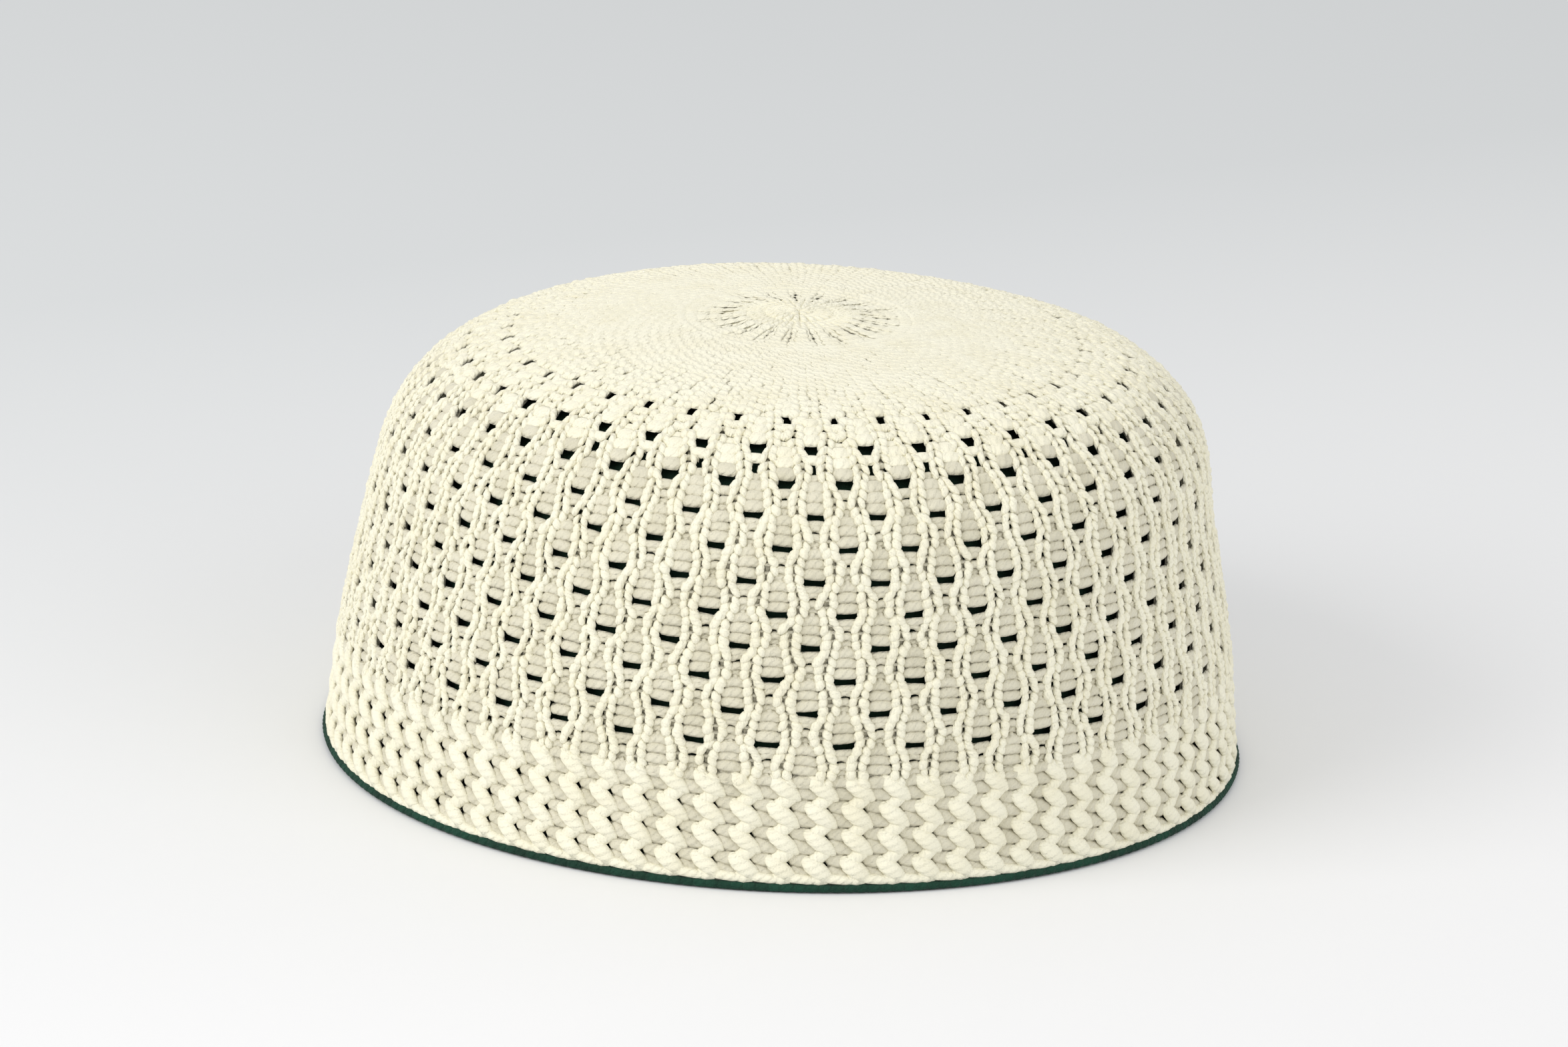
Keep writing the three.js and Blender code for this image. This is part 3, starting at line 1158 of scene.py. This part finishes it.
def raise_rings(
    name: str, rings: list[tuple[float, float, float]], facets: int, close: bool
) -> bpy.types.Object:
    """Raise a sheet from a circle, ring by ring.

    Args:
        name: The piece's name.
        rings: Half width, half depth and height of each ring, in millimetres.
        facets: Sides of each ring.
        close: Whether the last ring is drawn together to a point.

    Returns:
        The sheet, with its faces outwards.
    """
    bpy.ops.object.select_all(action="DESELECT")
    wide, deep, up = rings[0]
    bpy.ops.mesh.primitive_circle_add(vertices=facets, radius=wide * MM, location=(0, 0, up * MM))
    piece = bpy.context.object
    piece.name = name
    piece.data.name = name
    bpy.ops.object.transform_apply(location=True, rotation=False, scale=False)
    bpy.ops.object.mode_set(mode="EDIT")
    bpy.ops.mesh.select_all(action="SELECT")
    bpy.ops.transform.resize(value=(1, deep / wide, 1))
    for before, after in zip(rings, rings[1:]):
        lift = {"value": (0, 0, (after[2] - before[2]) * MM)}
        bpy.ops.mesh.extrude_region_move(TRANSFORM_OT_translate=lift)
        bpy.ops.transform.resize(value=(after[0] / before[0], after[1] / before[1], 1))
    if close:
        bpy.ops.mesh.merge(type="CENTER")
    bpy.ops.mesh.select_all(action="SELECT")
    bpy.ops.mesh.normals_make_consistent(inside=False)
    bpy.ops.object.mode_set(mode="OBJECT")
    bpy.ops.object.shade_smooth()
    return piece


def thicken(piece: bpy.types.Object, wall: float) -> None:
    """Give a sheet a wall inwards.

    Args:
        piece: The sheet.
        wall: Its thickness in millimetres.
    """
    modifier = piece.modifiers.new("wall", "SOLIDIFY")
    modifier.thickness = wall * MM
    modifier.offset = -1.0
    take_only(piece)
    bpy.ops.object.modifier_apply(modifier=modifier.name)


@dataclass(frozen=True)
class KnotRing:
    """One ring of loops over the middle of the crown, with its outer and inner radius."""

    loops: int
    outer: float
    inner: float
    half_width: float
    depth: float


KNOT_RINGS = (
    KnotRing(42, 14.5, 5.0, 0.95, 0.7),
    KnotRing(21, 7.5, 1.2, 0.95, 0.45),
    KnotRing(7, 3.0, 0.2, 1.1, 0.3),
)


@dataclass
class CrownKnit:
    """Plain crown over a cream ground, drawn together round a small button."""

    grid: StitchGrid
    wardrobe: Wardrobe
    legs: LegSizes
    crown_edge: float
    merge_radius: float = 24.0
    button_radius: float = 13.0
    loop_bow: float = 0.35
    loop_taper: float = 0.65
    loop_half_depth: float = 0.65
    ground_gap: float = 1.6
    ground_depth: float = 0.4
    ground_wall: float = 0.6
    ground_rings: int = 48
    rim_drop: float = 1.2
    rim_reach: float = 7.0
    tip_gap: float = 0.5
    least_radius: float = 0.2
    facets: int = 168
    seed: int = 31

    def build(self) -> None:
        """Build and dress the crown's legs, its gathered middle and the ground under them."""
        grid = self.grid
        edge = math.ceil(grid.row(self.crown_edge))
        merge = round(grid.row(grid.shape.length_at_radius(self.merge_radius)))
        inner = round(grid.row(grid.shape.length_at_radius(self.button_radius)))
        plain = StrandBatch(self.legs.sides)
        LegKnit(grid, self.legs, seed=self.seed).add(plain, np.arange(grid.columns), np.arange(edge, merge))
        self.wardrobe.dress(plain.build("crown_legs"), CREAM_YARN, "crown")
        drawn = StrandBatch(self.legs.sides)
        pairs = np.arange(0, grid.columns, 2)
        LegKnit(grid, self.legs, seed=self.seed + 1).add(drawn, pairs, np.arange(merge, inner + 1), thin=2.0)
        self.wardrobe.dress(drawn.build("crown_gathers"), CREAM_YARN, "crown")
        self.wardrobe.dress(self.button(), CREAM_YARN, "crown")
        self.wardrobe.dress(self.ground(), CREAM_YARN, "crown")

    def button(self) -> bpy.types.Object:
        """Draw the last loops together over the middle of the crown.

        Returns:
            The piece.
        """
        shape = self.grid.shape
        batch = StrandBatch(8)
        for ring in KNOT_RINGS:
            turn = self.grid.first_angle + 2 * math.pi * (np.arange(ring.loops)[:, None] + 0.5) / ring.loops
            share = np.linspace(0.0, 1.0, 6)[None, :]
            radius = ring.outer + (ring.inner - ring.outer) * share
            length = np.interp(-radius, -shape.radii, shape.lengths)
            bow = self.loop_bow * (2 * share - 1) ** 2
            path, out = shape.route(length, turn, ring.depth + bow)
            taper = 1 - self.loop_taper + self.loop_taper * radius[:, 1:-1] / ring.outer
            batch.add(path, out, ring.half_width * taper, self.loop_half_depth * np.ones(4))
        return batch.build("crown_button")

    def ground(self) -> bpy.types.Object:
        """Raise the cream ground that closes the gaps between the crown's legs.

        Returns:
            The piece.
        """
        shape = self.grid.shape
        start = self.crown_edge + self.ground_gap
        rings = []
        for length in np.linspace(start, shape.lengths[-1] - self.tip_gap, self.ground_rings):
            rim = 1 - float(smooth_step(length, start, start + self.rim_reach))
            drop = self.ground_depth + shape.crown_drop + self.rim_drop * rim
            radius = float(shape.radius(length) - drop * shape.read(shape.out_r, length))
            radius = max(radius, self.least_radius)
            height = float(shape.read(shape.heights, length) - drop * shape.read(shape.out_z, length))
            rings.append((radius, radius, height))
        piece = raise_rings("crown_ground", rings, self.facets, close=True)
        for vertex in piece.data.vertices:
            x, y, z = vertex.co
            radius = np.array(math.hypot(x, y) / MM)
            vertex.co.z = z - float(shape.gather.sink(radius, np.array(math.atan2(x, -y)))) * MM
        self.open_pits(piece)
        thicken(piece, self.ground_wall)
        return piece

    def open_pits(self, piece: bpy.types.Object) -> None:
        """Cut the small openings between the pleats.

        Args:
            piece: The sheet that closes the crown.
        """
        gather = self.grid.shape.gather
        take_only(piece)
        bpy.ops.object.mode_set(mode="EDIT")
        bpy.ops.mesh.select_mode(type="FACE")
        bpy.ops.mesh.select_all(action="DESELECT")
        bpy.ops.object.mode_set(mode="OBJECT")
        for face in piece.data.polygons:
            x, y, _ = face.center
            radius = math.hypot(x, y) / MM
            across = float(gather.offset(np.array(radius), np.array(math.atan2(x, -y))))
            inside = gather.pit_inner < radius < gather.pit_outer
            face.select = inside and abs(across) < gather.pit_half_width
        bpy.ops.object.mode_set(mode="EDIT")
        bpy.ops.mesh.delete(type="FACE")
        bpy.ops.mesh.select_mode(type="VERT")
        bpy.ops.object.mode_set(mode="OBJECT")


@dataclass
class Backing:
    """The dark green inner cap and the edge that binds it to the knit."""

    grid: StitchGrid
    wardrobe: Wardrobe
    bottom: float
    knit: float = 3.1
    wall: float = 1.0
    rings: int = 34
    tip_gap: float = 0.5
    least_radius: float = 0.2
    facets: int = 84
    roll_radius: float = 0.85
    roll_depths: tuple[float, ...] = (0.75, 2.6)
    roll_taper: tuple[float, ...] = (0.9, 1.0, 1.0, 0.9)
    roll_height: float = 0.98
    roll_thickness: float = 1.2
    roll_climb: float = 0.02
    wraps_to_column: int = 3
    wrap_half_length: float = 2.0

    def build(self) -> None:
        """Build and dress the inner cap and the bound edge."""
        self.wardrobe.dress(self.inner_cap(), GREEN_CLOTH, "lining")
        self.wardrobe.dress(self.bound_edge(), GREEN_EDGE, "edging")

    def inner_cap(self) -> bpy.types.Object:
        """Raise the inner cap.

        Returns:
            The piece.
        """
        shape = self.grid.shape
        rings = []
        for length in np.linspace(self.bottom, shape.lengths[-1] - self.tip_gap, self.rings):
            height = float(shape.read(shape.heights, length) - self.knit * shape.read(shape.out_z, length))
            radius = float(shape.radius(length) - self.knit * shape.read(shape.out_r, length))
            radius = max(radius, self.least_radius)
            push = float(shape.press(np.array(0.0), shape.read(shape.heights, length)))
            rings.append((radius, radius - push, height))
        piece = raise_rings("inner_cap", rings, self.facets, close=True)
        thicken(piece, self.wall)
        return piece

    def bound_edge(self) -> bpy.types.Object:
        """Roll the bound edge on which the cap stands, as two rings of short wraps side by side.

        Returns:
            The piece.
        """
        shape = self.grid.shape
        batch = StrandBatch(8)
        wraps = self.wraps_to_column * self.grid.columns
        share = np.linspace(-1.0, 1.0, 6)[None, :]
        angle = 2 * math.pi * np.arange(wraps)[:, None] / wraps + 0 * share
        length = np.full(angle.shape, self.roll_radius)
        out = shape.outward(length, angle)
        full = self.roll_radius * np.array(self.roll_taper)
        for depth in self.roll_depths:
            path = shape.place(length, angle, depth + 0 * share, share * self.wrap_half_length)
            path[..., 2] = self.roll_radius * (1.0 + self.roll_climb * share)
            batch.add(path, out, self.roll_height * full, self.roll_thickness * full)
        return batch.build("bound_edge")


@dataclass(frozen=True)
class Lamp:
    """One soft lamp: its place in metres, its power in watts and its tint."""

    name: str
    spot: tuple[float, float, float]
    power: float
    tint: tuple[float, float, float]
    size: float = 1.0


LAMPS = (
    Lamp("key", (-1.15, -0.7, 0.85), 11.0, (1.0, 0.985, 0.96)),
    Lamp("fill", (0.9, -0.8, 0.7), 2.8, (0.98, 0.99, 1.0)),
)


@dataclass
class Studio:
    """Camera at the photo's angle, soft light and a pale sweep."""

    focal_pixels: float = 7067.0
    photo_width: float = 2348.0
    photo_height: float = 1568.0
    rim_middle: tuple[float, float] = (1183.0, 1097.1)
    distance: float = 952.7
    elevation: float = math.radians(20.25)
    roll: float = math.radians(2.41)
    sensor: float = 36.0
    floor_size: tuple[float, float] = (8.0, 4.0)
    floor_turn: float = math.radians(-34.0)
    floor_near: float = -0.1
    floor_far: float = 0.36
    near_colour: tuple[float, float, float] = (0.87, 0.875, 0.89)
    far_colour: tuple[float, float, float] = (0.7, 0.72, 0.735)
    sky_colour: tuple[float, float, float] = (1.0, 0.995, 0.985)
    sky_strength: float = 0.79

    def camera(self) -> None:
        """Set up the camera from the photo's frame."""
        sine, cosine = math.sin(self.elevation), math.cos(self.elevation)
        spot = self.distance * np.array([0.0, -cosine, sine])
        forward = -spot / self.distance
        right = np.array([1.0, 0.0, 0.0])
        up = np.cross(right, forward)
        pan = math.atan2(self.rim_middle[0] - self.photo_width / 2, self.focal_pixels)
        tip = math.atan2(self.rim_middle[1] - self.photo_height / 2, self.focal_pixels)
        side = right * math.cos(pan) + forward * math.sin(pan)
        ahead = -right * math.sin(pan) + forward * math.cos(pan)
        high = up * math.cos(tip) - ahead * math.sin(tip)
        view = up * math.sin(tip) + ahead * math.cos(tip)
        across = math.cos(self.roll) * side + math.sin(self.roll) * high
        above = -math.sin(self.roll) * side + math.cos(self.roll) * high
        data = bpy.data.cameras.new("camera")
        data.sensor_width = self.sensor
        data.lens = self.focal_pixels / self.photo_width * self.sensor
        data.clip_start = 0.01
        camera = bpy.data.objects.new("camera", data)
        bpy.context.scene.collection.objects.link(camera)
        turned = np.eye(4)
        turned[:3, 0], turned[:3, 1], turned[:3, 2] = across, above, -view
        turned[:3, 3] = spot * MM
        camera.matrix_world = Matrix(turned.tolist())
        bpy.context.scene.camera = camera

    def sweep(self) -> None:
        """Lay the pale floor, a little darker towards the back."""
        bpy.ops.object.select_all(action="DESELECT")
        bpy.ops.mesh.primitive_plane_add(size=1.0, location=(0, 0, 0))
        floor = bpy.context.object
        floor.name = "floor_sweep"
        bpy.ops.object.mode_set(mode="EDIT")
        bpy.ops.mesh.select_all(action="SELECT")
        bpy.ops.transform.resize(value=(*self.floor_size, 1.0))
        bpy.ops.object.mode_set(mode="OBJECT")
        material = bpy.data.materials.new("pale_sweep")
        material.use_nodes = True
        tree = material.node_tree
        shader = tree.nodes["Principled BSDF"]
        shader.inputs["Roughness"].default_value = 1.0
        shader.inputs["Specular IOR Level"].default_value = 0.0
        place = tree.nodes.new("ShaderNodeTexCoord")
        slew = tree.nodes.new("ShaderNodeMapping")
        slew.inputs["Rotation"].default_value = (0.0, 0.0, self.floor_turn)
        parts = tree.nodes.new("ShaderNodeSeparateXYZ")
        blend = tree.nodes.new("ShaderNodeValToRGB")
        reach = tree.nodes.new("ShaderNodeMapRange")
        reach.inputs["From Min"].default_value = self.floor_near
        reach.inputs["From Max"].default_value = self.floor_far
        blend.color_ramp.elements[0].color = (*self.near_colour, 1.0)
        blend.color_ramp.elements[1].color = (*self.far_colour, 1.0)
        tree.links.new(place.outputs["Object"], slew.inputs["Vector"])
        tree.links.new(slew.outputs["Vector"], parts.inputs["Vector"])
        tree.links.new(parts.outputs["Y"], reach.inputs["Value"])
        tree.links.new(reach.outputs["Result"], blend.inputs["Fac"])
        tree.links.new(blend.outputs["Color"], shader.inputs["Base Color"])
        floor.data.materials.append(material)

    def light(self) -> None:
        """Light the cap softly from all round and a little more from the front left."""
        world = bpy.data.worlds.new("studio")
        world.use_nodes = True
        ground = world.node_tree.nodes["Background"]
        ground.inputs["Color"].default_value = (*self.sky_colour, 1.0)
        ground.inputs["Strength"].default_value = self.sky_strength
        bpy.context.scene.world = world
        for lamp in LAMPS:
            data = bpy.data.lights.new(lamp.name, "AREA")
            data.size = lamp.size
            data.energy = lamp.power
            data.color = lamp.tint
            stand = bpy.data.objects.new(lamp.name, data)
            stand.location = lamp.spot
            aim = np.array(lamp.spot) / np.linalg.norm(lamp.spot)
            stand.rotation_euler = (math.acos(aim[2]), 0.0, math.atan2(aim[0], -aim[1]))
            bpy.context.scene.collection.objects.link(stand)
        view = bpy.context.scene.view_settings
        view.view_transform = "Standard"
        view.exposure = 0.0


def main() -> None:
    """Build the studio and the cap in order."""
    logging.basicConfig(level=logging.INFO, format="%(name)s %(message)s")
    studio = Studio()
    studio.camera()
    band_low, band_high = (np.array(corner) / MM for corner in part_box("band"))
    crown_high = np.array(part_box("crown")[1]) / MM
    shape = CapShape(rim_radius=RIM_RADIUS, cap_height=float(crown_high[2]))
    grid = StitchGrid(shape)
    shape.gather.first_angle = float(grid.angle(2))
    wardrobe = Wardrobe()
    legs, bars = LegSizes(), BarSizes()
    band_top = shape.length_at_height(float(band_high[2]))
    band_bottom = shape.length_at_height(float(band_low[2]))
    crown_edge = shape.length_at_radius(CROWN_EDGE_RADIUS)
    SideKnit(grid, wardrobe, legs, bars, band_top, crown_edge).build()
    CrownKnit(grid, wardrobe, legs, crown_edge).build()
    BandKnit(grid, wardrobe, BandSizes(), band_bottom - BAND_OVERHANG, band_top).build()
    Backing(grid, wardrobe, bottom=band_bottom - INNER_CAP_OVERHANG).build()
    studio.sweep()
    studio.light()


if __name__ == "__main__":
    main()
